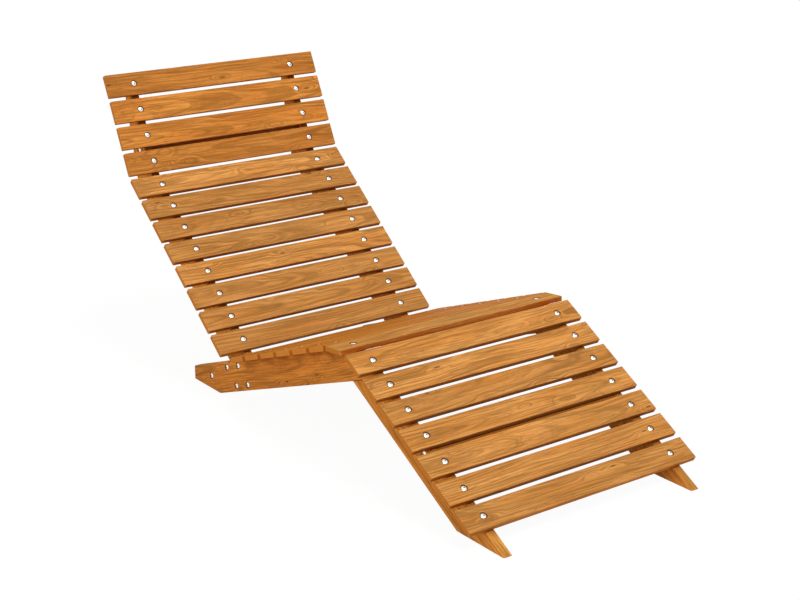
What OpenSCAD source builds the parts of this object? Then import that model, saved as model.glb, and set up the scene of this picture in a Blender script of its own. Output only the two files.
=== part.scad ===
// Wooden chaise longue for a patio or a porch.
// Two bent side frames carry slatted head, back, seat and leg rests.
// X runs from the head end to the foot end, Y across the width, and Z up from the ground.
// The origin is on the ground, in the middle of the length and of the width.
// Left and right are those of someone who lies on it and looks towards the foot end.
// All sizes are in millimetres, all angles in degrees.

/* [Side profile] */
// Height above the ground of the knee, where the top edges of seat and leg rails meet
knee_h = 293.5; // [270:0.5:320]
// Rise of the seat towards the knee
seat_angle = 19.9; // [16:0.1:24]
// Fall of the leg rest from the knee to the ground
leg_angle = 30.1; // [27:0.1:34]
// Slope of the back rest
back_angle = 39.2; // [35:0.1:45]
// Slope of the head rest
head_angle = 64.3; // [58:0.1:70]
// Knee to hip, along the top edge of the seat rail; the hip is where the front of the back rail crosses it
seat_len = 525.5; // [515:0.5:560]
// Hip to neck, along the front edge of the back rail; the neck is where back and head rails meet
back_len = 568.5; // [562:0.5:600]
// Neck to the upper end, along the front edge of the head rail
head_len = 274; // [268:0.5:300]
// Hip to the heel end of the seat rail, along its top edge
heel_len = 235; // [200:1:240]

/* [Rails] */
// Depth of the seat, back and leg rails, from edge to edge
rail_w = 76; // [68:0.5:80]
// Thickness of every rail
rail_t = 22.5; // [20:0.5:27]
// Depth of the head rail at the neck, square to its front edge
neck_w = 88; // [84:0.5:92]
// Depth of the head rail at its upper end
tip_w = 23; // [20:0.5:34]
// Rounding of the long edges of rails and stretchers
rail_ease = 2.5; // [1:0.25:4]

/* [Slats] */
// Length of every slat, across the chaise
slat_len = 623; // [560:1:700]
// Overhang of the slats past the outer faces of the seat and leg rails
slat_over = 42.5; // [25:0.5:60]
// Width of every slat
slat_w = 59; // [54:0.5:62]
// Thickness of every slat
slat_t = 12; // [10:0.5:16]
// Rounding of the edges and ends of the slats
slat_ease = 1.25; // [0.5:0.25:3]
// Rounding of the four corners of the slats, seen from above
slat_corner = 2.5; // [1:0.25:5]

/* [Slat spacing] */
// Neck to the middle of the lowest head slat
head_first = 40.7; // [38:0.1:44]
// Upper end of the head rail to the middle of the top head slat
head_last = 27.2; // [20:0.1:34]
// Neck to the middle of the top back slat
back_first = 31.4; // [30:0.1:34]
// Hip to the middle of the lowest back slat
back_last = 47.1; // [44:0.1:60]
// Knee to the middle of the nearest seat slat
seat_first = 88.2; // [86:0.1:92]
// Hip to the middle of the rearmost seat slat
seat_last = 68.3; // [62:0.1:80]
// Knee to the middle of the top leg slat
leg_first = 56; // [54:0.1:60]
// Ground to the middle of the lowest leg slat, along the top edge of the leg rail
leg_last = 96.6; // [80:0.1:110]

/* [Knee] */
// Length of seat rail planed away for the knee slat, back from the knee
flat_back = 49.5; // [46:0.5:54]
// Length of leg rail planed away for the knee slat, down from the knee
flat_fore = 21; // [14:0.5:24]
// Shift of the knee slat towards the seat, from the middle of the flat
knee_slat_back = 4.5; // [0:0.5:6]
// Thickness of the tenons of the bridle joints at the knee and the neck
tenon_t = 7.5; // [6:0.25:10]
// Distance between the two upper screws of the knee joint
knee_fix_span = 60; // [40:1:80]
// Drop of the third knee joint screw below them
knee_fix_drop = 20; // [12:1:28]

/* [Neck] */
// Length of the tenon at the neck, square to the mitre
neck_tenon_l = 60; // [56:1:70]
// Neck to the two rear screws of the neck joint, along the mitre line
neck_fix_far = 46; // [40:1:48]
// Neck to the front screw of the neck joint, along the mitre line
neck_fix_near = 20; // [18:1:28]
// Distance of the middle of those three screws from the mitre line
neck_fix_in = 30; // [26:1:34]
// Distance between the two rear screws
neck_fix_span = 26; // [20:1:30]

/* [Hip] */
// Distance of the front hip bolts from the front edge of the back rail
hip_in_front = 15.5; // [10:0.5:22]
// Distance of the rear hip bolts from the rear edge of the back rail
hip_in_rear = 11.5; // [10:0.5:22]
// Distance of the upper hip bolts from the top edge of the seat rail
hip_in_top = 14; // [10:0.5:22]
// Distance of the lower hip bolts from the bottom edge of the seat rail
hip_in_under = 14; // [10:0.5:22]

/* [Stretchers] */
// Thickness of the stretchers
stretcher_t = 22; // [18:0.5:26]
// Width of the stretcher between the head rails
head_stretcher_w = 44; // [36:1:50]
// Neck to the middle of the head stretcher, along the front edge of the head rail
head_stretcher_at = 83; // [74:1:100]
// Depth of the middle of the head stretcher behind that edge
head_stretcher_in = 34.5; // [32:0.5:38]
// Width of the stretcher between the leg rails
leg_stretcher_w = 34; // [28:1:44]
// Knee to the middle of the leg stretcher, along the top edge of the leg rail
leg_stretcher_at = 296; // [280:1:320]
// Depth of the middle of the leg stretcher below that edge
leg_stretcher_in = 18; // [17:0.5:30]
// Width of the stretcher between the heel ends of the seat rails
heel_stretcher_w = 44; // [36:1:50]
// Hip to the middle of the heel stretcher, along the top edge of the seat rail
heel_stretcher_at = 156; // [140:1:165]
// Depth of the middle of the heel stretcher below that edge
heel_stretcher_in = 30.5; // [26:0.5:36]

/* [Screws] */
// Diameter of the round heads of the slat and stretcher screws and of the bolts
head_d = 12; // [10:0.5:13]
// Height of those heads
head_h = 2.3; // [1.5:0.1:3]
// Height of the straight rim below the dome of every head
rim_h = 0.6; // [0.3:0.1:1]
// Diameter of the counterbores that the heads lie in
sink_d = 16.6; // [14:0.1:17.5]
// Depth of the counterbores
sink_h = 1.8; // [1:0.1:3]
// Width across flats of the key sockets in the heads
socket_af = 4; // [3:0.5:5]
// Depth of the key sockets
socket_h = 1.2; // [0.8:0.1:1.4]
// Diameter of the screws' shanks
screw_d = 5; // [4:0.5:6]
// Diameter of the blunt points of all screws
point_d = 1; // [0.5:0.1:1.5]
// Length of the slat screws under the head
screw_l = 32; // [28:0.5:33]
// Length of the stretcher screws under the head
stretcher_screw_l = 60; // [45:1:70]
// Diameter of the heads of the joint screws
joint_head_d = 8; // [7:0.5:9]
// Height of the heads of the joint screws
joint_head_h = 2; // [1.5:0.1:2.5]
// Width across flats of the key sockets of the joint screws
joint_socket_af = 3; // [2:0.5:4]
// Diameter of the shanks of the joint screws
joint_screw_d = 4; // [3:0.5:4.5]
// Length of the joint screws under the head
joint_screw_l = 17; // [14:0.5:17.5]
// Widening of every screw's and bolt's hole over its shank
hole_clear = 0.2; // [0.1:0.05:0.5]

/* [Hip bolts] */
// Diameter of the hip bolts
bolt_d = 6; // [5:0.5:8]
// Diameter of the washers under the nuts
washer_d = 16; // [14:0.5:18]
// Thickness of the washers
washer_t = 1.6; // [1:0.1:2]
// Width across flats of the nuts
nut_af = 10; // [9:0.5:13]
// Height of the nuts
nut_h = 5; // [4:0.5:8]
// Length of bolt that shows beyond its nut
bolt_show = 2; // [1:0.5:4]

/* [Hidden] */
HEAD_SLATS = 4;
BACK_SLATS = 8;
SEAT_SLATS = 6;
LEG_SLATS = 7;
SIDES = ["left", "right"];
RAILS = ["head_rail", "back_rail", "seat_rail", "leg_rail"];
$fn = 48;

slat_colour = [0.80, 0.54, 0.29];
rail_colour = [0.66, 0.41, 0.20];
steel_colour = [0.85, 0.85, 0.84];

// Extra length of a board before its ends are cut, and the reach of a block that cuts
spare = 60;
far = 1500;

// Side view geometry: points are [x, z], and a line is [point, angle]
function along(angle) = [cos(angle), sin(angle)];
function outward(angle) = [-sin(angle), cos(angle)];
function on_line(line, s, depth = 0) = line[0] + s * along(line[1]) - depth * outward(line[1]);
function inset(line, depth) = [on_line(line, 0, depth), line[1]];
function crossing(a, b) =
    a[0] + along(a[1]) * cross(b[0] - a[0], along(b[1])) / cross(along(a[1]), along(b[1]));
function line_through(p, q) = [p, atan2(q[1] - p[1], q[0] - p[0])];

// Each line runs towards the foot end, so its outward side is the side that is lain on
reach_back = seat_len * cos(seat_angle) + back_len * cos(back_angle) + head_len * cos(head_angle)
    + tip_w * sin(head_angle);
reach_fore = knee_h / tan(leg_angle);
knee = [(reach_back - reach_fore) / 2, knee_h];
seat_top = [knee, seat_angle];
leg_top = [knee, -leg_angle];
hip = on_line(seat_top, -seat_len);
back_front = [hip, -back_angle];
neck = on_line(back_front, -back_len);
head_front = [neck, -head_angle];
seat_under = inset(seat_top, rail_w);
leg_under = inset(leg_top, rail_w);
back_rear = inset(back_front, rail_w);
neck_rear = crossing(back_rear, inset(head_front, neck_w));
tip_rear = on_line(head_front, -head_len, tip_w);
head_rear = line_through(tip_rear, neck_rear);
mitre = line_through(neck_rear, neck);
heel = on_line(seat_top, -seat_len - heel_len);
back_foot = norm(crossing(back_rear, seat_under) - on_line(back_rear, 0));
ground = [[0, 0], 0];

// The flat planed across the knee, where the knee slat lies
flat_rear = on_line(seat_top, -flat_back);
flat_front = on_line(leg_top, flat_fore);
knee_flat = line_through(flat_rear, flat_front);

// The tenon of the neck joint, from a root inside the head rail to the bottom of the slot
neck_shoulder = inset(mitre, neck_tenon_l);
neck_root = on_line(mitre, norm(neck - neck_rear) / 2, -spare / 2);
neck_tenon = [
    neck, neck_root, neck_rear,
    crossing(neck_shoulder, back_rear), crossing(neck_shoulder, back_front)
];

// Faces of the rails, which lie face to face, and the middles of their thickness
seat_outer = slat_len / 2 - slat_over;
back_outer = seat_outer - rail_t;
back_inner = back_outer - rail_t;
seat_y = (seat_outer + back_outer) / 2;
back_y = (back_outer + back_inner) / 2;

// How far the tops of the heads stand out of the wood
proud = head_h - sink_h;

// How far the slat screws reach into the rails, and the depth of the pilot hole past their points
bite = screw_l - (slat_t - sink_h);
past_point = 1;

// Places of the slats, spread evenly along a line: each is that line and a distance along it
function places(line, count, from, to) = [
    for (i = [0 : count - 1]) [line, from + i * (to - from) / (count - 1)]
];
head_places = places(head_front, HEAD_SLATS, head_last - head_len, -head_first);
back_places = places(back_front, BACK_SLATS, back_first - back_len, -back_last);
seat_places = places(seat_top, SEAT_SLATS, seat_last - seat_len, -seat_first);
knee_place = [knee_flat, norm(flat_front - flat_rear) / 2 - knee_slat_back];
leg_places = places(leg_top, LEG_SLATS, leg_first, knee_h / sin(leg_angle) - leg_last);

// Side view points of the fasteners that run across the chaise
head_stretcher_point = on_line(head_front, -head_stretcher_at, head_stretcher_in);
leg_stretcher_point = on_line(leg_top, leg_stretcher_at, leg_stretcher_in);
heel_stretcher_point = on_line(seat_top, -seat_len - heel_stretcher_at, heel_stretcher_in);
hip_points = [
    for (a = [inset(back_front, hip_in_front), inset(back_rear, -hip_in_rear)],
        b = [inset(seat_top, hip_in_top), inset(seat_under, -hip_in_under)]) crossing(a, b)
];
joint_rear = crossing(seat_top, leg_under);
joint_front = crossing(seat_under, leg_top);
joint_line = line_through(joint_rear, joint_front);
joint_middle = norm(joint_front - joint_rear) / 2;
knee_fix_points = [
    on_line(joint_line, joint_middle - knee_fix_span / 2),
    on_line(joint_line, joint_middle + knee_fix_span / 2),
    on_line(joint_line, joint_middle, knee_fix_drop)
];
mitre_from_neck = [neck, mitre[1]];
neck_fix_points = [
    on_line(mitre_from_neck, -neck_fix_far, neck_fix_in - neck_fix_span / 2),
    on_line(mitre_from_neck, -neck_fix_far, neck_fix_in + neck_fix_span / 2),
    on_line(mitre_from_neck, -neck_fix_near, neck_fix_in)
];

// Puts children on a line in the side view, their X along it and their Z outwards
module place(line, s = 0) {
    p = on_line(line, s);
    translate([p[0], 0, p[1]]) rotate([0, -line[1], 0]) children();
}

// Puts children at a side view point of the left frame, their Z pointing away from the middle
module facing_out(p, y) {
    translate([p[0], y, p[1]]) rotate([-90, 0, 0]) children();
}

// The same, with their Z pointing to the middle
module facing_in(p, y) {
    translate([p[0], y, p[1]]) rotate([90, 0, 0]) children();
}

module both_sides() {
    children();
    mirror([0, 1, 0]) children();
}

// Frames are drawn on the left and mirrored for the right
module on_side(side) {
    if (side == "left") children();
    else mirror([0, 1, 0]) children();
}

// Blocks that cut away one side of a line, over the thickness from y0 to y1
module outside_of(line, y0 = -far, y1 = far) {
    place(line) translate([-far, y0, 0]) cube([2 * far, y1 - y0, far]);
}

module inside_of(line, y0 = -far, y1 = far) {
    place(line) translate([-far, y0, -far]) cube([2 * far, y1 - y0, far]);
}

// Rectangle with rounded corners
module eased(a, b, r) {
    square([a - 2 * r, b], center = true);
    square([a, b - 2 * r], center = true);
    for (x = [-1, 1], y = [-1, 1]) translate([x * (a / 2 - r), y * (b / 2 - r)]) circle(r);
}

// Board with its outer edge on a line, from one distance along it to another
module board(line, from, to, w) {
    place(line) translate([from, 0, -w / 2]) rotate([90, 0, 90])
        linear_extrude(to - from) eased(rail_t, w, rail_ease);
}

// Holes in a rail's edge for the screws of the slats that lie on it
module pilot_holes(slat_places) {
    for (at = slat_places) place(at[0], at[1]) translate([0, 0, -bite - past_point])
        cylinder(h = bite + 2 * past_point, d = screw_d + hole_clear);
}

// Hole through a rail from its outer face, with a counterbore for the head
module side_hole(p, outer, length, d) {
    facing_out(p, outer) {
        translate([0, 0, -length]) cylinder(h = length + past_point, d = d + hole_clear);
        translate([0, 0, -sink_h]) cylinder(h = sink_h + past_point, d = sink_d);
    }
}

// Hole for a joint screw, from the inner face of a rail
module joint_hole(p, inner) {
    facing_in(p, inner) {
        translate([0, 0, -joint_head_h - joint_screw_l - past_point])
            cylinder(h = joint_head_h + joint_screw_l + 2 * past_point, d = joint_screw_d + hole_clear);
        translate([0, 0, -joint_head_h])
            cylinder(h = joint_head_h + past_point, d = joint_head_d + hole_clear);
    }
}

// Domed head with a straight rim and a key socket, the top of its dome at z = 0
module fastener_head(d, h, socket_across, socket_depth) {
    rise = h - rim_h;
    dome_r = (pow(d / 2, 2) + pow(rise, 2)) / (2 * rise);
    difference() {
        intersection() {
            translate([0, 0, -h]) cylinder(h = h, d = d);
            translate([0, 0, -dome_r]) sphere(dome_r);
        }
        translate([0, 0, -socket_depth])
            cylinder(h = socket_depth + past_point, d = socket_across / cos(30), $fn = 6);
    }
}

// Screw that points down from the top of its head at z = 0
module screw(d, h, shank, length, socket_across, socket_depth) {
    fastener_head(d, h, socket_across, socket_depth);
    translate([0, 0, -h - length]) cylinder(h = shank, d1 = point_d, d2 = shank);
    translate([0, 0, -h - length + shank]) cylinder(h = length - shank, d = shank);
}

// Slat with eased edges and ends, its underside at z = 0, and two counterbored screw holes
module slat(at, screw_y) {
    color(slat_colour) place(at[0], at[1]) difference() {
        translate([0, 0, slat_t / 2]) intersection() {
            rotate([90, 0, 0]) linear_extrude(slat_len, center = true) eased(slat_w, slat_t, slat_ease);
            rotate([90, 0, 90]) linear_extrude(slat_w, center = true) eased(slat_len, slat_t, slat_ease);
            linear_extrude(slat_t, center = true) eased(slat_w, slat_len, slat_corner);
        }
        for (y = [-screw_y, screw_y]) translate([0, y, 0]) {
            translate([0, 0, -past_point]) cylinder(h = slat_t + 2 * past_point, d = screw_d + hole_clear);
            translate([0, 0, slat_t - sink_h]) cylinder(h = slat_t, d = sink_d);
        }
    }
}

module head_slat(i) { slat(head_places[i - 1], back_y); }

module back_slat(i) { slat(back_places[i - 1], back_y); }

module seat_slat(i) { slat(seat_places[i - 1], seat_y); }

module knee_slat() { slat(knee_place, seat_y); }

module leg_slat(i) { slat(leg_places[i - 1], seat_y); }

// The head rail tapers to its upper end, and its tenon passes the mitre into the back rail
module head_rail(side) {
    color(rail_colour) on_side(side) difference() {
        translate([0, back_y, 0]) difference() {
            union() {
                difference() {
                    intersection() {
                        board(head_front, -head_len, spare, neck_w + spare);
                        board(inset(head_rear, -neck_w - spare), -spare, head_len + spare, neck_w + spare);
                    }
                    inside_of(mitre);
                }
                rotate([90, 0, 0]) linear_extrude(tenon_t, center = true) polygon(neck_tenon);
            }
            pilot_holes(concat(head_places, [back_places[0]]));
        }
        for (p = neck_fix_points) joint_hole(p, back_inner);
        side_hole(head_stretcher_point, back_outer, rail_t + past_point, screw_d);
    }
}

// The back rail holds that tenon in its slot, and is bolted to the inside of the seat rail
module back_rail(side) {
    color(rail_colour) on_side(side) difference() {
        translate([0, back_y, 0]) difference() {
            board(back_front, -back_len - spare, back_foot + spare, rail_w);
            outside_of(mitre);
            outside_of(neck_shoulder, -tenon_t / 2, tenon_t / 2);
            inside_of(seat_under);
            pilot_holes(back_places);
        }
        for (p = neck_fix_points) joint_hole(p, back_inner);
        for (p = hip_points) facing_out(p, back_inner - past_point)
            cylinder(h = rail_t + 2 * past_point, d = bolt_d + hole_clear);
    }
}

// The seat rail has the slot of the knee joint, and its heel end stands on the ground
module seat_rail(side) {
    color(rail_colour) on_side(side) difference() {
        translate([0, seat_y, 0]) difference() {
            board(seat_top, -seat_len - heel_len - spare, spare, rail_w);
            outside_of(leg_top);
            outside_of(knee_flat);
            outside_of(leg_under, -tenon_t / 2, tenon_t / 2);
            inside_of(ground);
            outside_of([heel, 90]);
            pilot_holes(concat(seat_places, [knee_place, leg_places[0]]));
        }
        for (p = knee_fix_points) joint_hole(p, back_outer);
        for (p = hip_points) side_hole(p, seat_outer, rail_t + past_point, bolt_d);
        side_hole(heel_stretcher_point, seat_outer, rail_t + past_point, screw_d);
    }
}

// The leg rail carries the tenon of the knee joint, and its foot is cut level
module leg_rail(side) {
    color(rail_colour) on_side(side) difference() {
        translate([0, seat_y, 0]) difference() {
            board(leg_top, -spare, reach_fore / cos(leg_angle) + rail_w, rail_w);
            outside_of(seat_top);
            outside_of(knee_flat);
            outside_of(seat_under, -far, -tenon_t / 2);
            outside_of(seat_under, tenon_t / 2, far);
            inside_of(ground);
            pilot_holes(concat(leg_places, [knee_place, seat_places[SEAT_SLATS - 1]]));
        }
        for (p = knee_fix_points) joint_hole(p, back_outer);
        side_hole(leg_stretcher_point, seat_outer, rail_t + past_point, screw_d);
    }
}

// Cross rail between two rails' inner faces, with a pilot hole in each end
module stretcher(p, angle, w, inner) {
    reach = stretcher_screw_l - (rail_t - sink_h);
    color(rail_colour) difference() {
        translate([p[0], 0, p[1]]) rotate([0, -angle, 0]) rotate([90, 0, 0])
            linear_extrude(2 * inner, center = true) eased(stretcher_t, w, rail_ease);
        both_sides() facing_out(p, inner) translate([0, 0, -reach - past_point])
            cylinder(h = reach + 2 * past_point, d = screw_d + hole_clear);
    }
}

module head_stretcher() {
    stretcher(head_stretcher_point, -head_angle, head_stretcher_w, back_inner);
}

module leg_stretcher() {
    stretcher(leg_stretcher_point, -leg_angle, leg_stretcher_w, back_outer);
}

module heel_stretcher() {
    stretcher(heel_stretcher_point, seat_angle, heel_stretcher_w, back_outer);
}

// The screws of a row of slats, two to a slat
module slat_screws(slat_places, screw_y) {
    color(steel_colour) for (at = slat_places, y = [-screw_y, screw_y])
        place(at[0], at[1]) translate([0, y, slat_t + proud])
            screw(head_d, head_h, screw_d, screw_l, socket_af, socket_h);
}

module stretcher_screws() {
    color(steel_colour) both_sides() {
        facing_out(head_stretcher_point, back_outer + proud)
            screw(head_d, head_h, screw_d, stretcher_screw_l, socket_af, socket_h);
        for (p = [leg_stretcher_point, heel_stretcher_point]) facing_out(p, seat_outer + proud)
            screw(head_d, head_h, screw_d, stretcher_screw_l, socket_af, socket_h);
    }
}

// Screws that pin a bridle joint, driven from the inner face of the frame
module joint_screws(points, inner) {
    color(steel_colour) both_sides() for (p = points) facing_in(p, inner)
        screw(joint_head_d, joint_head_h, joint_screw_d, joint_screw_l, joint_socket_af, socket_h);
}

module hip_bolts() {
    length = seat_outer - sink_h - back_inner + washer_t + nut_h + bolt_show;
    color(steel_colour) both_sides() for (p = hip_points) facing_out(p, seat_outer + proud) {
        fastener_head(head_d, head_h, socket_af, socket_h);
        translate([0, 0, -head_h - length]) cylinder(h = length, d = bolt_d);
    }
}

module hip_washers() {
    color(steel_colour) both_sides() for (p = hip_points) facing_in(p, back_inner) difference() {
        cylinder(h = washer_t, d = washer_d);
        translate([0, 0, -past_point]) cylinder(h = washer_t + 2 * past_point, d = bolt_d + hole_clear);
    }
}

module hip_nuts() {
    color(steel_colour) both_sides() for (p = hip_points) facing_in(p, back_inner - washer_t) difference() {
        cylinder(h = nut_h, d = nut_af / cos(30), $fn = 6);
        translate([0, 0, -past_point]) cylinder(h = nut_h + 2 * past_point, d = bolt_d + hole_clear);
    }
}

for (i = [1 : HEAD_SLATS]) head_slat(i);
for (i = [1 : BACK_SLATS]) back_slat(i);
for (i = [1 : SEAT_SLATS]) seat_slat(i);
knee_slat();
for (i = [1 : LEG_SLATS]) leg_slat(i);
for (side = SIDES) {
    head_rail(side);
    back_rail(side);
    seat_rail(side);
    leg_rail(side);
}
head_stretcher();
leg_stretcher();
heel_stretcher();
slat_screws(head_places, back_y);  // head_slat_screws
slat_screws(back_places, back_y);  // back_slat_screws
slat_screws(concat(seat_places, [knee_place]), seat_y);  // seat_slat_screws
slat_screws(leg_places, seat_y);  // leg_slat_screws
stretcher_screws();
joint_screws(knee_fix_points, back_outer);  // knee_joint_screws
joint_screws(neck_fix_points, back_inner);  // neck_joint_screws
hip_bolts();
hip_washers();
hip_nuts();
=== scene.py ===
"""Looks of a wooden chaise longue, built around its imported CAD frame.

Every board of the frame keeps its CAD mesh and gets a finish of its own, whose growth rings run
along that board as if it were sawn from a log. All lengths are in metres, in the CAD's frame:
X from the head end to the foot end, Y across, Z up from the ground.
"""
import logging
import math
import random
from dataclasses import dataclass, field
from enum import Enum
from typing import Iterator

import bmesh
import bpy
from mathutils import Matrix, Vector

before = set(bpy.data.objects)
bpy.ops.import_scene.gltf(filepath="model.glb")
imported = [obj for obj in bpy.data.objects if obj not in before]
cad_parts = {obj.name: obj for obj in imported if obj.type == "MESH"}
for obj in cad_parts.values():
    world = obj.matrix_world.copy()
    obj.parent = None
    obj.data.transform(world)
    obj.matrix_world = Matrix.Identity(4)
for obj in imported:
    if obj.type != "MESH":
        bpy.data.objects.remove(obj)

LOG = logging.getLogger("chaise")

# Millimetres in a metre
MILLIMETRES = 1000
# Corners of a mesh that are nearer than this are one
MERGE_DISTANCE = 1e-6
# Edges that turn less than this aren't edges of the board
SHARP_EDGE = math.radians(2)
# Sine of the angle past which an edge leans out of the board's face
OUT_OF_FACE = 0.1
# Digits to which the directions of faces and edges are told apart
DIRECTION_DIGITS = 2
# Size below which the sign of a direction's part doesn't count
NO_SIGN = 0.05
# Places of the colour sockets of a Mix node
MIX_SHARE, MIX_FIRST, MIX_SECOND, MIX_RESULT = 0, 6, 7, 2
# Signs to draw from
EITHER_WAY = (-1, 1)
# Middle level of a noise, which swings as far to each side
NOISE_MIDDLE = 0.5
# A screen's brightest level, and its curve: a straight toe up to a small level, then a power
SCREEN_FULL = 255
SCREEN_TOE = 0.04045
SCREEN_TOE_SLOPE = 12.92
SCREEN_OFFSET = 0.055
SCREEN_POWER = 2.4

Span = tuple[float, float]
Triple = tuple[float, float, float]
Colour = tuple[float, float, float, float]
Socket = bpy.types.NodeSocket
Feed = Socket | float | Triple | Colour

WHITE: Colour = (1.0, 1.0, 1.0, 1.0)


def from_screen(red: int, green: int, blue: int) -> Colour:
    """Turns a colour as a screen shows it into the linear colour that a shader takes.

    Args:
        red: Red, from 0 to 255.
        green: Green, from 0 to 255.
        blue: Blue, from 0 to 255.

    Returns:
        The linear red, green, blue and alpha.
    """
    def linear(level: float) -> float:
        """Undoes the screen's curve for one channel."""
        if level <= SCREEN_TOE:
            return level / SCREEN_TOE_SLOPE
        return ((level + SCREEN_OFFSET) / (1 + SCREEN_OFFSET)) ** SCREEN_POWER

    return (*(linear(part / SCREEN_FULL) for part in (red, green, blue)), 1.0)


class Sawing(Enum):
    """How a board was sawn from the log: how far the pith lies below and beside its middle."""

    FLAT = (0.024, 0.004)
    RIFT = (0.034, 0.030)
    QUARTER = (0.012, 0.070)

    @property
    def depth(self) -> float:
        """Depth of the pith below the middle of the board."""
        return self.value[0]

    @property
    def side(self) -> float:
        """Offset of the pith along the board's width."""
        return self.value[1]


@dataclass(frozen=True)
class BoardAxes:
    """Where a board lies: its middle, the way its grain runs and the way its face looks.

    Attributes:
        middle: Centre of the board.
        grain: Unit vector along the board.
        face: Unit vector out of its broad face.
        size: Its length, width and thickness.
    """

    middle: Vector
    grain: Vector
    face: Vector
    size: Vector

    @classmethod
    def of(cls, board: bpy.types.Object) -> "BoardAxes":
        """Reads a board's axes from its mesh.

        The broad face is the direction that most of the surface looks in, and the grain follows
        the direction of most of the sharp edges' length.

        Args:
            board: A CAD node that is one board.

        Returns:
            The board's axes.
        """
        shape = bmesh.new()
        shape.from_mesh(board.data)
        bmesh.ops.remove_doubles(shape, verts=shape.verts[:], dist=MERGE_DISTANCE)
        shape.normal_update()
        areas: dict[Triple, float] = {}
        for surface in shape.faces:
            key = cls._key(surface.normal)
            areas[key] = areas.get(key, 0.0) + surface.calc_area()
        face = Vector(max(areas, key=areas.get)).normalized()
        lengths: dict[Triple, float] = {}
        for edge in shape.edges:
            if len(edge.link_faces) != 2 or edge.calc_face_angle(0.0) < SHARP_EDGE:
                continue
            along = edge.verts[1].co - edge.verts[0].co
            if along.length < MERGE_DISTANCE or abs(along.normalized().dot(face)) > OUT_OF_FACE:
                continue
            key = cls._key(along.normalized())
            lengths[key] = lengths.get(key, 0.0) + along.length
        grain = Vector(max(lengths, key=lengths.get)).normalized()
        grain = (grain - face * grain.dot(face)).normalized()
        turn = Matrix((grain, face.cross(grain), face))
        local = [turn @ vertex.co for vertex in shape.verts]
        shape.free()
        low = Vector([min(point[i] for point in local) for i in range(3)])
        high = Vector([max(point[i] for point in local) for i in range(3)])
        return cls(turn.transposed() @ ((low + high) / 2), grain, face, high - low)

    @staticmethod
    def _key(direction: Vector) -> Triple:
        """Rounds a direction and drops its sign, so that opposite ones count together.

        Args:
            direction: A unit vector.

        Returns:
            The rounded vector, whose first part of any size is positive.
        """
        rounded = [round(part, DIRECTION_DIGITS) + 0.0 for part in direction]
        lead = next((part for part in rounded if abs(part) > NO_SIGN), 1.0)
        return tuple(part if lead > 0 else -part + 0.0 for part in rounded)

    def turn(self) -> Matrix:
        """Gives the turn from the frame's axes to length, width and thickness of the board."""
        return Matrix((self.grain, self.face.cross(self.grain), self.face))


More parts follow.
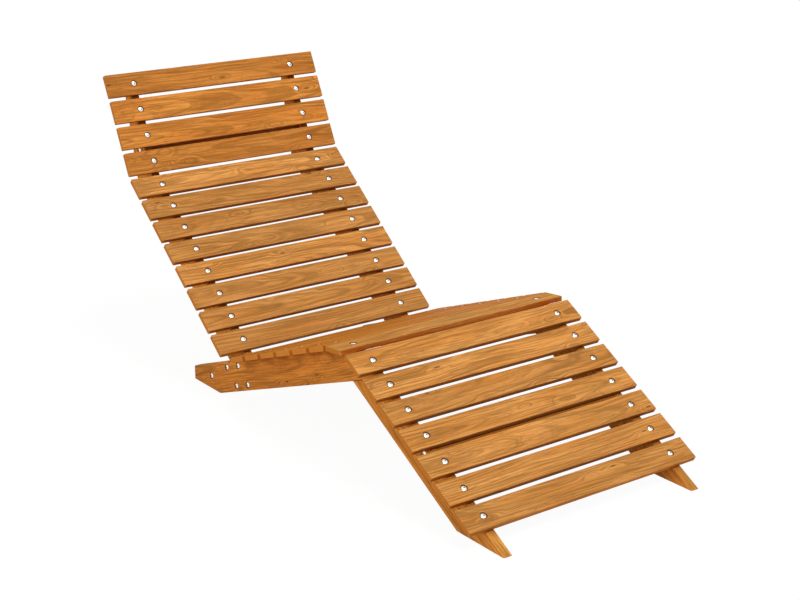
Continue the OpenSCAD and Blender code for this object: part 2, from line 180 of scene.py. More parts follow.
class Nodes:
    """Short forms for placing and linking the nodes of one shader tree."""

    def __init__(self, tree: bpy.types.NodeTree) -> None:
        """Keeps the tree that nodes are added to."""
        self.tree = tree

    def add(self, kind: str, **settings: object) -> bpy.types.Node:
        """Adds a node.

        Args:
            kind: The node's type, without the leading "ShaderNode".
            **settings: Attributes of the node to set.

        Returns:
            The new node.
        """
        node = self.tree.nodes.new("ShaderNode" + kind)
        for name, value in settings.items():
            setattr(node, name, value)
        return node

    def feed(self, socket: Socket, value: Feed) -> None:
        """Links a socket to another one, or sets its value.

        Args:
            socket: The input.
            value: The output to link to it, or a constant.
        """
        if isinstance(value, Socket):
            self.tree.links.new(value, socket)
        else:
            socket.default_value = value

    def fill(self, node: bpy.types.Node, *values: Feed) -> Socket:
        """Feeds the first inputs of a node.

        Args:
            node: The node.
            *values: What its inputs get, in order.

        Returns:
            The node's first output.
        """
        for socket, value in zip(node.inputs, values):
            self.feed(socket, value)
        return node.outputs[0]

    def math(self, operation: str, *values: Feed) -> Socket:
        """Adds a Math node and returns its output."""
        return self.fill(self.add("Math", operation=operation), *values)

    def vector(self, operation: str, *values: Feed) -> Socket:
        """Adds a Vector Math node and returns its vector output."""
        return self.fill(self.add("VectorMath", operation=operation), *values)

    def parts(self, vector: Socket) -> bpy.types.NodeOutputs:
        """Splits a vector into outputs named X, Y and Z.

        Args:
            vector: The vector.

        Returns:
            The outputs.
        """
        node = self.add("SeparateXYZ")
        self.fill(node, vector)
        return node.outputs

    def span(self, value: Feed, low: float, high: float, to_low: float = 0.0,
             to_high: float = 1.0, smooth: bool = True) -> Socket:
        """Maps a value from one range to another, and clamps it.

        Args:
            value: The value.
            low: Where the result is to_low.
            high: Where the result is to_high.
            to_low: Result at and below low.
            to_high: Result at and above high.
            smooth: Whether the result eases in and out.

        Returns:
            The result.
        """
        node = self.add("MapRange", interpolation_type="SMOOTHSTEP" if smooth else "LINEAR")
        return self.fill(node, value, low, high, to_low, to_high)

    def noise(self, at: Socket, scale: float = 1.0, detail: float = 2.0,
              roughness: float = 0.5) -> bpy.types.Node:
        """Adds a three-dimensional Noise Texture.

        Args:
            at: Place to read the noise at.
            scale: Features in a unit of that place.
            detail: Number of finer layers.
            roughness: Weight of the finer layers.

        Returns:
            The node.
        """
        node = self.add("TexNoise")
        for title, value in (("Vector", at), ("Scale", scale), ("Detail", detail),
                             ("Roughness", roughness)):
            self.feed(node.inputs[title], value)
        return node

    def mix(self, share: Feed, first: Feed, second: Feed) -> Socket:
        """Mixes two colours.

        Args:
            share: Share of the second one, from 0 to 1.
            first: The first colour.
            second: The second colour.

        Returns:
            The mixed colour.
        """
        node = self.add("Mix", data_type="RGBA")
        for place, value in ((MIX_SHARE, share), (MIX_FIRST, first), (MIX_SECOND, second)):
            self.feed(node.inputs[place], value)
        return node.outputs[MIX_RESULT]

    def facing(self, axis: Vector) -> Socket:
        """Measures how squarely the surface faces along an axis, either way.

        Args:
            axis: Unit vector along the axis.

        Returns:
            1 where the surface is square to the axis, and 0 where the axis lies in it.
        """
        product = self.add("VectorMath", operation="DOT_PRODUCT")
        self.fill(product, self.add("NewGeometry").outputs["Normal"], tuple(axis))
        return self.math("ABSOLUTE", product.outputs["Value"])

    def show(self, surface: Socket, output: str = "OutputMaterial") -> None:
        """Links a shader to a new output node of the tree."""
        self.feed(self.add(output).inputs["Surface"], surface)


def new_material(name: str) -> tuple[bpy.types.Material, Nodes]:
    """Adds a material with an empty shader tree.

    Args:
        name: Name of the material.

    Returns:
        The material, and the short forms for its tree.
    """
    material = bpy.data.materials.new(name)
    material.use_nodes = True
    material.node_tree.nodes.clear()
    return material, Nodes(material.node_tree)


@dataclass(frozen=True)
class Waves:
    """Waves that push a board's pattern aside.

    Attributes:
        density: Waves in a metre along the board, and across its width and its thickness.
        push: How far they push the pattern.
    """

    density: Triple
    push: float

    def apply(self, nodes: Nodes, position: Socket) -> Socket:
        """Pushes a position.

        Args:
            nodes: The shader tree.
            position: Place on the board.

        Returns:
            The place that is pushed aside.
        """
        waves = nodes.noise(nodes.vector("MULTIPLY", position, self.density), detail=1.0)
        centred = nodes.vector("SUBTRACT", waves.outputs["Color"], (NOISE_MIDDLE,) * 3)
        push = nodes.vector("MULTIPLY", centred, (self.push / NOISE_MIDDLE,) * 3)
        return nodes.vector("ADD", position, push)


@dataclass(frozen=True)
class Pattern:
    """A noise stretched along a board, and the mask that is made from it.

    Attributes:
        density: Features in a metre along the board, and across its width and its thickness.
        limits: Levels of the noise at which the mask is 0 and 1.
        detail: Number of finer layers.
        roughness: Weight of the finer layers.
    """

    density: Triple
    limits: Span
    detail: float = 3.0
    roughness: float = 0.6

    def mask(self, nodes: Nodes, position: Socket) -> Socket:
        """Draws the mask.

        Args:
            nodes: The shader tree.
            position: Place on the board.

        Returns:
            The mask.
        """
        stretched = nodes.vector("MULTIPLY", position, self.density)
        level = nodes.noise(stretched, detail=self.detail, roughness=self.roughness).outputs[0]
        return nodes.span(level, *self.limits)


@dataclass(frozen=True)
class Grain:
    """Shader group that draws the figure of a board in its own length, width and thickness.

    Attributes:
        waves: Slow and short waves that push the growth rings aside.
        eye_density: Eyes in a metre along the board, and across its width and its thickness.
        eye_size: Reach of an eye, as a share of the distance between eyes.
        eye_rise: How far the rings bulge round an eye.
        knot: Shares of an eye's bulge at which a knot begins and is full.
        late_sharpness: How steeply the dark late wood rises in each ring.
        late_fade: Share of a ring at which its late wood begins to fade.
        ring_change: How quickly the late wood changes in strength from ring to ring.
        ring_limits: Levels of that change at which the late wood is absent and full.
        streaks: Dark streaks that follow the rings and fade along the board. Their density is
            given along the board and across the rings.
        fibres: Long fibres, from a few millimetres wide down to half a millimetre.
        pores: Short dark pores, ten to twenty millimetres long.
        clouds: Slow clouds that shift the wood from golden to brown.
        late_relief: Height of the late wood, as a share of the relief.
        fibre_relief: Depth of the fibres, as a share of the relief.
        name: Name of the group.
    """

    waves: tuple[Waves, ...] = (Waves((2.6, 9.0, 9.0), 0.012), Waves((11.0, 42.0, 42.0), 0.0022))
    eye_density: Triple = (8.0, 27.0, 27.0)
    eye_size: float = 0.42
    eye_rise: float = 0.011
    knot: Span = (0.9, 0.97)
    late_sharpness: float = 2.3
    late_fade: float = 0.8
    ring_change: float = 0.37
    ring_limits: Span = (0.36, 0.64)
    streaks: Pattern = Pattern((5.0, 300.0, 1.0), (0.46, 0.62))
    fibres: Pattern = Pattern((4.5, 230.0, 230.0), (0.41, 0.62), roughness=0.72)
    pores: Pattern = Pattern((45.0, 900.0, 900.0), (0.6, 0.76), detail=1.0, roughness=0.5)
    clouds: Pattern = Pattern((4.5, 26.0, 26.0), (0.28, 0.72))
    late_relief: float = 0.5
    fibre_relief: float = 0.4
    name: str = "Board grain"

    def group(self) -> bpy.types.ShaderNodeTree:
        """Builds the group, or gives it again once it is built.

        Returns:
            The group. It puts out masks for the late wood, the streaks along the rings, the fibres,
            the pores, the knots and the slow changes of tone, and a height for relief.
        """
        if self.name in bpy.data.node_groups:
            return bpy.data.node_groups[self.name]
        tree = bpy.data.node_groups.new(self.name, "ShaderNodeTree")
        sockets = tree.interface
        for title in ("Position", "Pith"):
            sockets.new_socket(title, in_out="INPUT", socket_type="NodeSocketVector")
        for title in ("Taper", "Ring width"):
            sockets.new_socket(title, in_out="INPUT", socket_type="NodeSocketFloat")
        nodes = Nodes(tree)
        source = tree.nodes.new("NodeGroupInput")
        position = source.outputs["Position"]
        for waves in self.waves:
            position = waves.apply(nodes, position)
        eyes = self._eyes(nodes, position)
        radius = nodes.math("ADD", self._radius(nodes, source, position),
                            nodes.math("MULTIPLY", eyes, self.eye_rise))
        late = self._late_wood(nodes, radius, source.outputs["Ring width"])
        fibres = self.fibres.mask(nodes, position)
        pores = self.pores.mask(nodes, position)
        low = nodes.math("ADD", nodes.math("MULTIPLY", fibres, self.fibre_relief), pores)
        high = nodes.math("MULTIPLY", late, self.late_relief)
        along = nodes.fill(nodes.add("CombineXYZ"), nodes.parts(position)["X"], radius)
        masks = {
            "Late wood": late,
            "Streaks": self.streaks.mask(nodes, along),
            "Fibres": fibres,
            "Pores": pores,
            "Knots": nodes.span(eyes, *self.knot),
            "Tone": self.clouds.mask(nodes, position),
            "Height": nodes.math("SUBTRACT", high, low),
        }
        for title in masks:
            sockets.new_socket(title, in_out="OUTPUT", socket_type="NodeSocketFloat")
        target = tree.nodes.new("NodeGroupOutput")
        for title, mask in masks.items():
            nodes.feed(target.inputs[title], mask)
        return tree

    def _eyes(self, nodes: Nodes, position: Socket) -> Socket:
        """Draws a few long bulges, round which the rings close to eyes.

        Args:
            nodes: The group's tree.
            position: Place on the board.

        Returns:
            Height of the bulges, from 0 to 1.
        """
        cells = nodes.add("TexVoronoi", feature="F1")
        nodes.feed(cells.inputs["Vector"], nodes.vector("MULTIPLY", position, self.eye_density))
        nodes.feed(cells.inputs["Scale"], 1.0)
        return nodes.span(cells.outputs["Distance"], 0.0, self.eye_size, 1.0, 0.0)

    @staticmethod
    def _radius(nodes: Nodes, source: bpy.types.Node, position: Socket) -> Socket:
        """Measures the distance from the pith, which runs slightly askew to the board.

        Args:
            nodes: The group's tree.
            source: The node of the group's inputs.
            position: Place on the board.

        Returns:
            The distance.
        """
        parts = nodes.parts(nodes.vector("ADD", position, source.outputs["Pith"]))
        rise = nodes.math("MULTIPLY_ADD", parts["X"], source.outputs["Taper"], parts["Z"])
        squares = nodes.math("ADD", nodes.math("MULTIPLY", parts["Y"], parts["Y"]),
                             nodes.math("MULTIPLY", rise, rise))
        return nodes.math("SQRT", squares)

    def _late_wood(self, nodes: Nodes, radius: Socket, width: Socket) -> Socket:
        """Draws the late wood of the growth rings, some rings darker than others.

        Args:
            nodes: The group's tree.
            radius: Distance from the pith.
            width: Width of a ring.

        Returns:
            The mask of the late wood.
        """
        count = nodes.math("DIVIDE", radius, width)
        within = nodes.math("FRACT", count)
        late = nodes.math("MULTIPLY", nodes.math("POWER", within, self.late_sharpness),
                          nodes.span(within, self.late_fade, 1.0, 1.0, 0.0))
        strength = nodes.add("TexNoise", noise_dimensions="1D")
        nodes.feed(strength.inputs["W"], count)
        nodes.feed(strength.inputs["Scale"], self.ring_change)
        return nodes.math("MULTIPLY", late, nodes.span(strength.outputs[0], *self.ring_limits))


@dataclass(frozen=True)
class Crevice:
    """Shader group that finds the nooks where other surfaces close round and light doesn't reach, as a
    mask for painted shade.

    Attributes:
        openness: Shares of open surroundings at which a nook is deep and at which it ends.
        rays: How finely the nooks are felt out.
        name: Name of the group.
    """

    openness: Span = (0.45, 1.0)
    rays: int = 6
    name: str = "Crevice"

    def group(self) -> bpy.types.ShaderNodeTree:
        """Builds the group, or gives it again once it is built.

        Returns:
            The group, which puts out a mask for painted shade that is 1 deep inside a crevice.
        """
        if self.name in bpy.data.node_groups:
            return bpy.data.node_groups[self.name]
        tree = bpy.data.node_groups.new(self.name, "ShaderNodeTree")
        tree.interface.new_socket("Reach", in_out="INPUT", socket_type="NodeSocketFloat")
        tree.interface.new_socket("Nook", in_out="OUTPUT", socket_type="NodeSocketFloat")
        nodes = Nodes(tree)
        source = tree.nodes.new("NodeGroupInput")
        target = tree.nodes.new("NodeGroupOutput")
        # Painted shade: ambient occlusion marks where other surfaces crowd round, and the finishes
        # darken their colour there.
        around = nodes.add("AmbientOcclusion", samples=self.rays)
        nodes.feed(around.inputs["Distance"], source.outputs["Reach"])
        nodes.feed(target.inputs["Nook"],
                   nodes.span(around.outputs["AO"], *self.openness, 1.0, 0.0, smooth=False))
        return tree

    def mask(self, nodes: Nodes, reach: float) -> Socket:
        """Places the group in a material.

        Args:
            nodes: The material's tree.
            reach: How near another surface has to be to make a nook.

        Returns:
            The mask of the painted shade in the nooks.
        """
        group = nodes.add("Group", node_tree=self.group())
        nodes.feed(group.inputs["Reach"], reach)
        return group.outputs["Nook"]


@dataclass(frozen=True)
class Growth:
    """Ranges from which each board draws what sets it apart from its neighbours.

    Attributes:
        shift: How far the pattern is moved on each axis, so that each board shows other wood.
        side: Change of the pith's offset along the width.
        depth: Change of the pith's depth.
        taper: Slope of the pith against the board.
        ring_width: Width of a growth ring.
        tone: How far the board is darker than its finish, from 0 to 1.
    """

    shift: Span = (-9.0, 9.0)
    side: Span = (-0.008, 0.008)
    depth: Span = (-0.006, 0.016)
    taper: Span = (0.02, 0.06)
    ring_width: Span = (0.0042, 0.0062)
    tone: Span = (0.0, 0.12)


@dataclass(frozen=True)
class OiledWood:
    """Oiled hardwood with a satin sheen, and with shade painted into its nooks and seams.

    Attributes:
        early: Colour of the light early wood.
        warm: Colour of the warm clouds between the rings.
        late: Colour of the late wood in each ring.
        streak: Colour of the olive streaks along the rings.
        pore: Colour of the pores and knots.
        end: Colour that darkens the end grain.
        nook_shade: Painted shade: the dark orange that the wood turns in the nooks, where the light is
            shut out.
        seam_shade: Painted shade: the dark line round a screw head and along a joint, where the
            surfaces touch.
        fibre_share: Strength of the fibres, as of the other layers from 0 to 1.
        streak_share: Strength of the streaks.
        late_share: Strength of the late wood.
        pore_share: Strength of the pores.
        knot_share: Strength of the knots.
        end_share: Strength of the end grain.
        nook_shade_share: Strength of the painted shade in the nooks.
        seam_shade_share: Strength of the painted shade along the seams.
        end_facing: How squarely a surface faces along the grain where end grain begins and is full.
        reach: How near another surface has to be for the painted shade in the nooks.
        seam_reach: How near another surface has to be for the painted shade along the seams.
        clearance: Heights above the ground at which the painted shade begins and is full, as the floor
            casts none of it.
        figure: Strength of the layers that draw the figure.
        gloss: Strength of the sheen.
        roughness: Roughness of the early wood.
        late_roughness: How much rougher the late wood is.
        relief: Depth of the relief.
        relief_strength: Strength of the relief's shading.
        grain: The figure.
        crevice: The nooks and seams, where shade is painted.
        growth: The differences from board to board.
    """

    early: Colour = from_screen(236, 168, 92)
    warm: Colour = from_screen(220, 144, 66)
    late: Colour = from_screen(124, 77, 29)
    streak: Colour = from_screen(150, 102, 44)
    pore: Colour = from_screen(88, 50, 14)
    end: Colour = from_screen(184, 120, 48)
    nook_shade: Colour = from_screen(144, 76, 4)
    seam_shade: Colour = from_screen(74, 44, 18)
    fibre_share: float = 0.6
    streak_share: float = 0.62
    late_share: float = 0.85
    pore_share: float = 0.4
    knot_share: float = 0.7
    end_share: float = 0.7
    nook_shade_share: float = 0.92
    seam_shade_share: float = 0.85
    end_facing: Span = (0.5, 0.95)
    reach: float = 0.02
    seam_reach: float = 0.003
    clearance: Span = (0.01, 0.03)
    figure: float = 1.0
    gloss: float = 0.12
    roughness: float = 0.6
    late_roughness: float = 0.12
    relief: float = 0.00015
    relief_strength: float = 0.8
    grain: Grain = Grain()
    crevice: Crevice = Crevice()
    growth: Growth = Growth()

    def material(self, name: str, axes: BoardAxes, sawing: Sawing, draw: random.Random,
                 depth: float) -> bpy.types.Material:
        """Builds the finish of one board.

        Args:
            name: Name of the material.
            axes: Where the board lies.
            sawing: How the board was sawn from the log.
            draw: Source of the differences from board to board.
            depth: How far the board is darker than its neighbours, from 0 to 1.

        Returns:
            The material, whose pattern follows the board's own axes.
        """
        material, nodes = new_material(name)
        place = nodes.add("TexCoord").outputs["Object"]
        figure = self._figure(nodes, place, axes, sawing, draw)
        depth += draw.uniform(*self.growth.tone)
        colour = self._colour(nodes, figure, nodes.parts(place)["Z"], axes, depth)
        bump = nodes.add("Bump")
        for title, value in (("Distance", self.relief), ("Strength", self.relief_strength),
                             ("Height", figure.outputs["Height"])):
            nodes.feed(bump.inputs[title], value)
        roughness = nodes.span(figure.outputs["Late wood"], 0.0, 1.0,
                               self.roughness, self.roughness + self.late_roughness)
        shader = nodes.add("BsdfPrincipled")
        for title, value in (("Base Color", colour), ("Roughness", roughness),
                             ("Normal", bump.outputs[0]), ("Specular IOR Level", self.gloss)):
            nodes.feed(shader.inputs[title], value)
        nodes.show(shader.outputs[0])
        return material

    def _figure(self, nodes: Nodes, place: Socket, axes: BoardAxes, sawing: Sawing,
                draw: random.Random) -> bpy.types.Node:
        """Lays the grain group along the board, in a log of its own.

        Args:
            nodes: The board's shader tree.
            place: Object coordinates.
            axes: Where the board lies.
            sawing: How the board was sawn from the log.
            draw: Source of the differences from board to board.

        Returns:
            The node of the group.
        """
        turn = axes.turn()
        mapping = nodes.add("Mapping", vector_type="POINT")
        for title, value in (("Vector", place), ("Rotation", tuple(turn.to_euler("XYZ"))),
                             ("Location", tuple(-(turn @ axes.middle)))):
            nodes.feed(mapping.inputs[title], value)
        shift = tuple(draw.uniform(*self.growth.shift) for _ in range(3))
        side = sawing.side * draw.choice(EITHER_WAY) + draw.uniform(*self.growth.side)
        below = sawing.depth + draw.uniform(*self.growth.depth)
        taper = draw.choice(EITHER_WAY) * draw.uniform(*self.growth.taper)
        group = nodes.add("Group", node_tree=self.grain.group())
        for title, value in (("Position", nodes.vector("ADD", mapping.outputs[0], shift)),
                             ("Pith", (-shift[0], side - shift[1], below - shift[2])),
                             ("Taper", taper),
                             ("Ring width", draw.uniform(*self.growth.ring_width))):
            nodes.feed(group.inputs[title], value)
        return group

    def _colour(self, nodes: Nodes, figure: bpy.types.Node, height: Socket,
                axes: BoardAxes, depth: float) -> Socket:
        """Lays the figure's masks over each other as colours.

        Args:
            nodes: The board's shader tree.
            figure: The node of the grain group.
            height: Height above the ground.
            axes: Where the board lies.
            depth: How far the board is darker than its finish, from 0 to 1.

        Returns:
            The board's colour, with painted shade in its nooks and seams.
        """
        masks = figure.outputs
        early, warm = (tuple(a + (b - a) * depth for a, b in zip(pale, self.late))
                       for pale in (self.early, self.warm))
        colour = nodes.mix(masks["Tone"], early, warm)
        for title, share, layer in (("Fibres", self.fibre_share, self.streak),
                                    ("Streaks", self.streak_share, self.streak),
                                    ("Late wood", self.late_share, self.late),
                                    ("Pores", self.pore_share, self.pore),
                                    ("Knots", self.knot_share, self.pore)):
            mask = nodes.math("MULTIPLY", masks[title], share * self.figure)
            colour = nodes.mix(mask, colour, layer)
        end = nodes.span(nodes.facing(axes.grain), *self.end_facing, 0.0, self.end_share)
        colour = nodes.mix(end, colour, self.end)
        # Painted shade: the colour darkens to a dark orange where other surfaces are near, and to a
        # darker brown in the tightest gaps, round screw heads and along joints, but not near the
        # ground.
        for reach, share, dark in ((self.reach, self.nook_shade_share, self.nook_shade),
                                   (self.seam_reach, self.seam_shade_share, self.seam_shade)):
            above = nodes.span(height, *self.clearance, 0.0, share)
            mask = nodes.math("MULTIPLY", self.crevice.mask(nodes, reach), above)
            colour = nodes.mix(mask, colour, dark)
        return colour


@dataclass(frozen=True)
class BrightSteel:
    """Bright stainless steel of the fasteners.

    Attributes:
        colour: Colour of the steel.
        nook_shade: Painted shade: the dark grey of the steel in the nooks round the heads and in their
            sockets.
        rim_reflection_and_shade: Painted reflection and shade: the wood colour that a head's wall
            shows in place of the steel's reflection, as does a head seen from very low.
        roughness: Roughness of the turned faces.
        mark_roughness: How much rougher the turning marks are.
        mark_density: Turning marks in a metre.
        mark_limits: Levels of the marks' noise at which a mark begins and is full.
        reach: How near another surface has to be for the painted shade.
        low_view: Levels of Facing at which a head is seen from low and from very low.
        wall: How squarely a surface faces along the screw where it is all wall and where it is all
            top.
        crevice: The nooks, where shade is painted.
    """

    colour: Colour = from_screen(240, 240, 236)
    nook_shade: Colour = from_screen(84, 80, 74)
    rim_reflection_and_shade: Colour = from_screen(206, 134, 58)
    roughness: float = 0.28
    mark_roughness: float = 0.1
    mark_density: float = 2600.0
    mark_limits: Span = (0.3, 0.7)
    reach: float = 0.003
    low_view: Span = (0.8, 0.9)
    wall: Span = (0.3, 0.9)
    crevice: Crevice = Crevice()

    def material(self, name: str, axis: Vector | None = None) -> bpy.types.Material:
        """Builds the finish.

        Args:
            name: Name of the material.
            axis: Unit vector along the screws, for a row whose heads are seen from low.

        Returns:
            The material, with faint turning marks, painted shade round the heads, and painted
            reflection of the wood on heads seen from low.
        """
        material, nodes = new_material(name)
        marks = nodes.noise(nodes.add("TexCoord").outputs["Object"], self.mark_density)
        roughness = nodes.span(marks.outputs[0], *self.mark_limits,
                               self.roughness, self.roughness + self.mark_roughness)
        # Painted shade: the steel turns dark grey in the nooks round the heads and in their sockets.
        colour = nodes.mix(self.crevice.mask(nodes, self.reach), self.colour, self.nook_shade)
        steel = nodes.add("BsdfPrincipled")
        for title, value in (("Base Color", colour), ("Metallic", 1.0), ("Roughness", roughness)):
            nodes.feed(steel.inputs[title], value)
        # Painted reflection and shade: a flat wood-coloured diffuse takes the steel's place on heads
        # seen from very low and, for a row given an axis, on the heads' walls.
        wood = nodes.fill(nodes.add("BsdfDiffuse"), self.rim_reflection_and_shade)
        share = nodes.span(nodes.add("LayerWeight").outputs["Facing"], *self.low_view)
        if axis is not None:
            wall = nodes.span(nodes.facing(axis), *self.wall, 1.0, 0.0)
            share = nodes.math("MAXIMUM", share, wall)
        nodes.show(nodes.fill(nodes.add("MixShader"), share, steel.outputs[0], wood))
        return material


def dress(node: str, material: bpy.types.Material) -> None:
    """Gives a CAD node one material in place of what it came with.

    Args:
        node: Name of the node.
        material: The material.
    """
    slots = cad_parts[node].data.materials
    slots.clear()
    slots.append(material)


def dress_board(node: str, finish: OiledWood, sawings: tuple[Sawing, ...], draw: random.Random,
                depth: float = 0.0) -> None:
    """Gives a board its finish, with a figure of its own.

    Args:
        node: Name of the board's node.
        finish: The finish.
        sawings: The ways in which such boards are sawn, one of which is drawn.
        draw: Source of the differences from board to board.
        depth: How far the board is darker than its neighbours, from 0 to 1.
    """
    axes = BoardAxes.of(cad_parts[node])
    sawing = draw.choice(sawings)
    dress(node, finish.material(node + "_wood", axes, sawing, draw, depth))
    LOG.info("%s: %s sawn, %.0f mm long", node, sawing.name.lower(), axes.size.x * MILLIMETRES)


@dataclass
class Slats:
    """The slats that are lain on, in rows, each with its own board's figure.

    Attributes:
        rows: Number of slats in each row.
        finish: Finish of the slats.
        finishes: Finish of the rows that differ from that, and of the knee slat. These paint light and
            shade: the head row is warmer for the warm bounce light on it, the seat row darker and more
            saturated for the shade of the back, and the knee slat has a deep orange shade painted wide
            into its nooks.
        deep: The slats that are darker than their neighbours, partly for their own tone and partly as
            painted shade, as the lowest back slats and the first seat slats darken for the crease
            between back and seat.
        depth: How far these are darker, from 0 to 1.
        sawings: The ways in which the slats are sawn, most of them flat.
        seed: Start of the random draws.
    """

    rows: dict[str, int] = field(default_factory=lambda: {"head": 4, "back": 8, "seat": 6, "leg": 7})
    finish: OiledWood = OiledWood()
    finishes: dict[str, OiledWood] = field(default_factory=lambda: {
        # Painted light: a warmer, more orange copy of the slats' wood for the warm bounce light on the
        # head row.
        "head": OiledWood(early=from_screen(240, 164, 78), warm=from_screen(224, 140, 57),
                          late=from_screen(124, 72, 23), streak=from_screen(154, 99, 36)),
        # Painted shade: a darker, more saturated copy of the slats' wood for the shade that the back
        # casts over the seat, with a deeper shade painted into its nooks.
        "seat": OiledWood(early=from_screen(213, 141, 58), warm=from_screen(198, 119, 41),
                          late=from_screen(132, 76, 20), streak=from_screen(148, 90, 28),
                          end=from_screen(204, 140, 72), nook_shade=from_screen(116, 42, 0),
                          reach=0.03, figure=0.5, gloss=0.03, relief=0.00004),
        # Painted shade: a deep orange shade, painted with a wide reach, darkens the knee slat's front
        # edge.
        "knee": OiledWood(early=from_screen(240, 174, 94), warm=from_screen(224, 148, 68),
                          nook_shade=from_screen(176, 70, 0), reach=0.12, figure=1.1, gloss=0.04)})
    # Partly the boards' own tone, partly painted shade: back slats 6 to 8 and seat slats 1 to 3 stand
    # darker for the shade in the crease between back and seat.
    deep: tuple[str, ...] = ("back_slat_2", "back_slat_3", "back_slat_4", "back_slat_6", "back_slat_7",
                             "back_slat_8", "leg_slat_3", "leg_slat_7", "seat_slat_1", "seat_slat_2",
                             "seat_slat_3", "head_slat_1", "head_slat_4")
    depth: float = 0.2
    sawings: tuple[Sawing, ...] = (Sawing.FLAT, Sawing.FLAT, Sawing.FLAT, Sawing.RIFT, Sawing.QUARTER)
    seed: int = 41

    def names(self) -> Iterator[str]:
        """Gives the node names of all slats.

        Returns:
            The names, in the order in which the slats are dressed.
        """
        for row, count in self.rows.items():
            for number in range(1, count + 1):
                yield f"{row}_slat_{number}"
        yield "knee_slat"

    def build(self) -> None:
        """Dresses every slat."""
        draw = random.Random(self.seed)
        for name in self.names():
            finish = self.finishes.get(name.split("_")[0], self.finish)
            dress_board(name, finish, self.sawings, draw, self.depth if name in self.deep else 0.0)


@dataclass
class Frames:
    """The two bent side frames and the stretchers between them.

    Attributes:
        rails: The rails of one side frame.
        sides: The two sides.
        stretchers: The stretchers between them.
        finish: Finish of the rails and stretchers.
        lit_finish: Painted light: a paler copy of the frames' finish that brightens the leg rails as
            if more light fell on them.
        lit_rail: The rail that has it.
        sawings: The ways in which the rails and stretchers are sawn.
        seed: Start of the random draws.
    """

    rails: tuple[str, ...] = ("head_rail", "back_rail", "seat_rail", "leg_rail")
    sides: tuple[str, ...] = ("left", "right")
    stretchers: tuple[str, ...] = ("head_stretcher", "leg_stretcher", "heel_stretcher")
    finish: OiledWood = OiledWood(
        early=from_screen(230, 158, 72), warm=from_screen(214, 139, 56), late=from_screen(122, 76, 26),
        streak=from_screen(144, 94, 34), end=from_screen(184, 122, 54))
    # Painted light: a paler copy of the finish, which brightens the leg rails as if more light fell on
    # them.
    lit_finish: OiledWood = OiledWood(
        early=from_screen(238, 170, 82), warm=from_screen(224, 150, 66), late=from_screen(126, 79, 28),
        streak=from_screen(150, 99, 38), end=from_screen(190, 127, 58))
    lit_rail: str = "leg_rail"
    sawings: tuple[Sawing, ...] = (Sawing.FLAT, Sawing.RIFT)
    seed: int = 7

    def names(self) -> Iterator[str]:
        """Gives the node names of all rails and stretchers.

        Returns:
            The names, in the order in which the boards are dressed.
        """
        for rail in self.rails:
            for side in self.sides:
                yield f"{rail}_{side}"
        yield from self.stretchers

    def build(self) -> None:
        """Dresses every rail and stretcher."""
        draw = random.Random(self.seed)
        for name in self.names():
            finish = self.lit_finish if name.startswith(self.lit_rail) else self.finish
            dress_board(name, finish, self.sawings, draw)


@dataclass
class Fasteners:
    """The screws, bolts, washers and nuts.

    Attributes:
        groups: The nodes, each a group of one kind of fastener.
        low_row: The group whose heads are seen from low in the photograph's view.
        low_board: A slat that this group goes through.
        finish: Their steel.
    """

    groups: tuple[str, ...] = (
        "head_slat_screws", "back_slat_screws", "seat_slat_screws", "leg_slat_screws",
        "stretcher_screws", "knee_joint_screws", "neck_joint_screws",
        "hip_bolts", "hip_washers", "hip_nuts")
    low_row: str = "seat_slat_screws"
    low_board: str = "seat_slat_1"
    finish: BrightSteel = BrightSteel()

    def build(self) -> None:
        """Dresses every fastener with bright steel."""
        steel = self.finish.material("bright_steel")
        axis = BoardAxes.of(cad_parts[self.low_board]).face
        # Painted reflection: this row's heads show the wood colour on their walls.
        low_steel = self.finish.material("low_bright_steel", axis)
        for name in self.groups:
            dress(name, low_steel if name == self.low_row else steel)
            LOG.info("%s: bright steel", name)


@dataclass(frozen=True)
class Lamp:
    """One broad lamp far away.

    Attributes:
        name: Name of the lamp.
        towards: Direction from the object to the lamp.
        share: Light on a surface that faces it, where 1 shows a colour as it is written.
        spread: Width of the lamp in the sky, in degrees.
        colour: Colour of its light.
    """

    name: str
    towards: Triple
    share: float
    spread: float
    colour: Triple = (1.0, 1.0, 1.0)

    def hang(self) -> None:
        """Hangs the lamp in the scene."""
        lamp = bpy.data.lights.new(self.name, "SUN")
        lamp.energy = self.share * math.pi
        lamp.angle = math.radians(self.spread)
        lamp.color = self.colour
        holder = bpy.data.objects.new(self.name, lamp)
        holder.rotation_mode = "QUATERNION"
        holder.rotation_quaternion = Vector(self.towards).to_track_quat("Z", "Y")
        bpy.context.scene.collection.objects.link(holder)


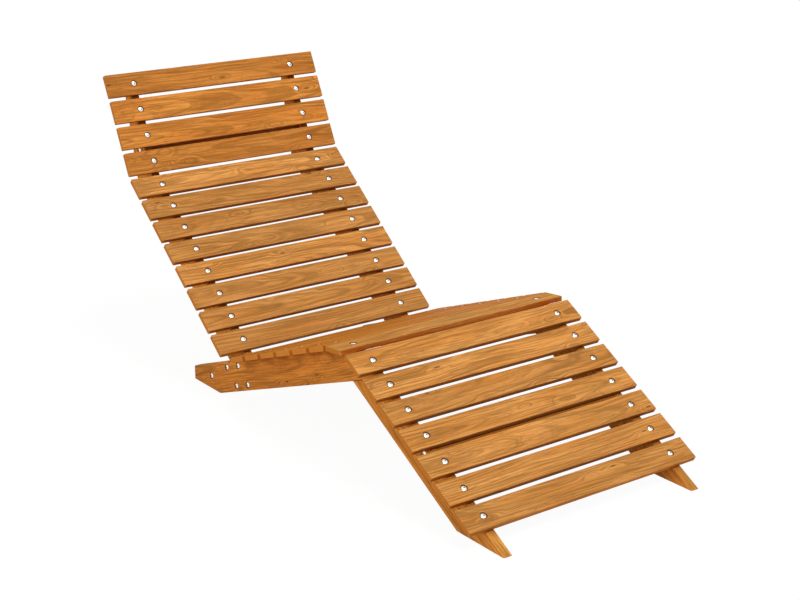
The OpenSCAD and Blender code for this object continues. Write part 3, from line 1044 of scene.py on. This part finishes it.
@dataclass(frozen=True)
class Studio:
    """Pale floor, soft light and the camera.

    Attributes:
        eye: Where the camera is.
        right: The camera's right.
        down: The camera's down.
        lens: Focal length in millimetres.
        sensor: Width of the camera's sensor in millimetres.
        sky: Strength of the even light from all around.
        lamps: The lamps.
        floor_seen: Share of the floor's white that takes shadows; the rest glows.
        floor_light: Light on the open floor, where 1 shows a colour as it is written.
        floor_bounce: Colour that the floor throws back at the object.
        floor_size: Length of the floor's sides.
    """

    eye: Triple = (2.9319, -2.0708, 1.4432)
    right: Triple = (0.58888, 0.80821, -0.00463)
    down: Triple = (0.24886, -0.18677, -0.95036)
    lens: float = 71.914
    sensor: float = 36.0
    sky: float = 0.32
    lamps: tuple[Lamp, ...] = (Lamp("overhead", (0.44, 0.0, 0.9), 0.66, 24.0),
                               Lamp("side", (0.12, -0.95, 0.3), 0.34, 50.0, (1.0, 0.93, 0.74)))
    floor_seen: float = 0.05
    floor_light: float = 0.9
    floor_bounce: Colour = from_screen(236, 194, 134)
    floor_size: float = 60.0

    def build(self) -> None:
        """Sets up the colour management, the light, the floor and the camera."""
        bpy.context.scene.view_settings.view_transform = "Standard"
        self._sky()
        for lamp in self.lamps:
            lamp.hang()
        self._floor()
        self._camera()

    @staticmethod
    def _seen(nodes: Nodes) -> Socket:
        """Tells the rays that show the background: from the camera, in gloss or through glass.

        Args:
            nodes: The tree of a material or of the world.

        Returns:
            1 on these rays and 0 on the rays that carry light.
        """
        path = nodes.add("LightPath").outputs
        either = nodes.math("MAXIMUM", path["Is Camera Ray"], path["Is Glossy Ray"])
        return nodes.math("MAXIMUM", either, path["Is Transmission Ray"])

    def _sky(self) -> None:
        """Lights the scene evenly from all around, and shows white behind the object."""
        world = bpy.data.worlds.new("studio")
        world.use_nodes = True
        world.node_tree.nodes.clear()
        nodes = Nodes(world.node_tree)
        strength = nodes.span(self._seen(nodes), 0.0, 1.0, self.sky, 1.0)
        nodes.show(nodes.fill(nodes.add("Background"), WHITE, strength), "OutputWorld")
        bpy.context.scene.world = world

    def _floor(self) -> None:
        """Lays a pale floor that keeps the object's shadow and shows as white around it."""
        shape = bmesh.new()
        bmesh.ops.create_grid(shape, x_segments=1, y_segments=1, size=self.floor_size / 2)
        mesh = bpy.data.meshes.new("floor")
        shape.to_mesh(mesh)
        shape.free()
        floor = bpy.data.objects.new("floor", mesh)
        bpy.context.scene.collection.objects.link(floor)
        material, nodes = new_material("pale_floor")
        seen = self._seen(nodes)
        seen_colour = (self.floor_seen,) * 3 + (1.0,)
        matt = nodes.fill(nodes.add("BsdfDiffuse"), nodes.mix(seen, self.floor_bounce, seen_colour))
        glow = nodes.add("Emission")
        lacking = 1.0 - self.floor_seen * self.floor_light
        nodes.feed(glow.inputs["Strength"], nodes.span(seen, 0.0, 1.0, 0.0, lacking))
        nodes.show(nodes.fill(nodes.add("AddShader"), matt, glow.outputs[0]))
        mesh.materials.append(material)

    def _camera(self) -> None:
        """Places the camera at the photograph's point of view."""
        lens = bpy.data.cameras.new("view")
        lens.sensor_width = self.sensor
        lens.lens = self.lens
        holder = bpy.data.objects.new("view", lens)
        right, up = Vector(self.right), -Vector(self.down)
        turn = Matrix((right, up, right.cross(up))).transposed()
        holder.matrix_world = Matrix.Translation(self.eye) @ turn.to_4x4()
        bpy.context.scene.collection.objects.link(holder)
        bpy.context.scene.camera = holder


def main() -> None:
    """Builds the studio and dresses the object."""
    logging.basicConfig(level=logging.INFO, format="%(name)s: %(message)s")
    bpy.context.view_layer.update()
    Studio().build()
    Slats().build()
    Frames().build()
    Fasteners().build()


if __name__ == "__main__":
    main()
